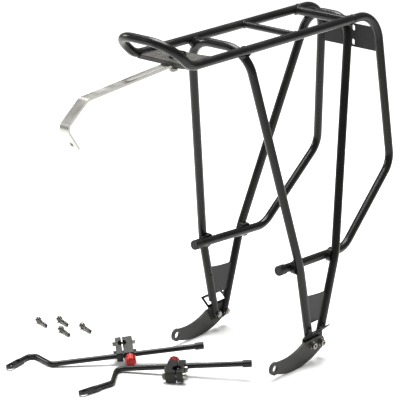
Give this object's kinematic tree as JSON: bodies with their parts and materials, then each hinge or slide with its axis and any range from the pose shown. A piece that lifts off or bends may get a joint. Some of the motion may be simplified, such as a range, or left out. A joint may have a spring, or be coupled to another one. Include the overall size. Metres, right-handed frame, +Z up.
{
  "type": "bicycle rear rack",
  "caption": "Tubular rear luggage rack for a bicycle with raised nose, side rails for panniers, curved dropout arms, mounting strap and loose stay rods with clamps.",
  "frame": {"origin": "midway between the two dropout eyelets, on their common axis", "axes": "+X towards the front of the bicycle, +Y to its left, +Z up"},
  "size_m": [0.5752, 0.3892, 0.4852],
  "materials": {
    "satin_black_paint": "satin powder coat",
    "charcoal_paint": "satin anodised plate",
    "bracket_black": "black powder coat",
    "rod_black": "satin black",
    "clamp_black": "bead blasted black",
    "bare_aluminium": "brushed",
    "stainless_fasteners": "bright",
    "black_fasteners": "black oxide",
    "black_plastic": "moulded",
    "red_anodised": "anodised red"
  },
  "bodies": {
    "frame": {"platform_loop": "satin_black_paint", "pannier_loop_left": "satin_black_paint", "pannier_loop_right": "satin_black_paint", "front_hoop": "satin_black_paint", "rear_hoop": "satin_black_paint", "middle_crossbar": "satin_black_paint", "rear_crossbar": "satin_black_paint", "hoop_welds": "satin_black_paint", "low_rail_welds": "satin_black_paint", "strap_plate": "satin_black_paint", "light_plate": "satin_black_paint", "gusset_left": "satin_black_paint", "gusset_right": "satin_black_paint", "hook_bracket_left": "bracket_black", "hook_bracket_right": "bracket_black", "dropout_arm_left": "charcoal_paint", "dropout_arm_right": "charcoal_paint", "rail_cap_left": "black_plastic", "rail_cap_right": "black_plastic", "foot_bolts": "stainless_fasteners", "foot_nuts": "stainless_fasteners", "foot_washers": "stainless_fasteners", "strap_guide": "black_plastic", "strap_bolts": "black_fasteners", "strap_nuts": "stainless_fasteners", "strap_washers": "black_fasteners"},
    "strap": {"strap": "bare_aluminium"},
    "stay_1": {"stay_rod_1": "rod_black", "rod_cap_1": "black_plastic"},
    "clamp_1": {"clamp_body_1": "clamp_black", "clamp_jaw_1": "clamp_black", "clamp_bolts_1": "stainless_fasteners", "clamp_nuts_1": "stainless_fasteners"},
    "knob_1": {"thumb_screw_1": "stainless_fasteners", "thumb_knob_1": "red_anodised"},
    "stay_2": {"stay_rod_2": "rod_black", "rod_cap_2": "black_plastic"},
    "clamp_2": {"clamp_body_2": "clamp_black", "clamp_jaw_2": "clamp_black", "clamp_bolts_2": "stainless_fasteners", "clamp_nuts_2": "stainless_fasteners"},
    "knob_2": {"thumb_screw_2": "stainless_fasteners", "thumb_knob_2": "red_anodised"},
    "screws": {"loose_screws": "stainless_fasteners"}
  },
  "joints": [
    {"name": "strap_slide", "type": "slide", "parent": "frame", "child": "strap", "axis": [0.9968, 0, -0.0796], "range_m": [-0.045, 0.003]},
    {"name": "stay_1_lift", "type": "slide", "parent": "frame", "child": "stay_1", "axis": [0, 0, 1], "range_m": [0, 0.06]},
    {"name": "clamp_1_slide", "type": "slide", "parent": "stay_1", "child": "clamp_1", "axis": [-0.7274, 0.68, 0.0922], "range_m": [-0.06, 0.06]},
    {"name": "knob_1_turn", "type": "hinge", "parent": "clamp_1", "child": "knob_1", "pos_m": [0.08914, -0.09121, -0.00163], "axis": [0.6287, 0.7142, -0.3077], "range_deg": [0, 360]},
    {"name": "stay_2_lift", "type": "slide", "parent": "frame", "child": "stay_2", "axis": [0, 0, 1], "range_m": [0, 0.06]},
    {"name": "clamp_2_slide", "type": "slide", "parent": "stay_2", "child": "clamp_2", "axis": [-0.5431, 0.833, 0.1061], "range_m": [-0.044, 0.06]},
    {"name": "knob_2_turn", "type": "hinge", "parent": "clamp_2", "child": "knob_2", "pos_m": [0.07773, -0.02371, -0.00344], "axis": [-0.827, -0.5525, 0.1039], "range_deg": [0, 360]},
    {"name": "screws_lift", "type": "slide", "parent": "frame", "child": "screws", "axis": [0, 0, 1], "range_m": [0, 0.06]}
  ]
}
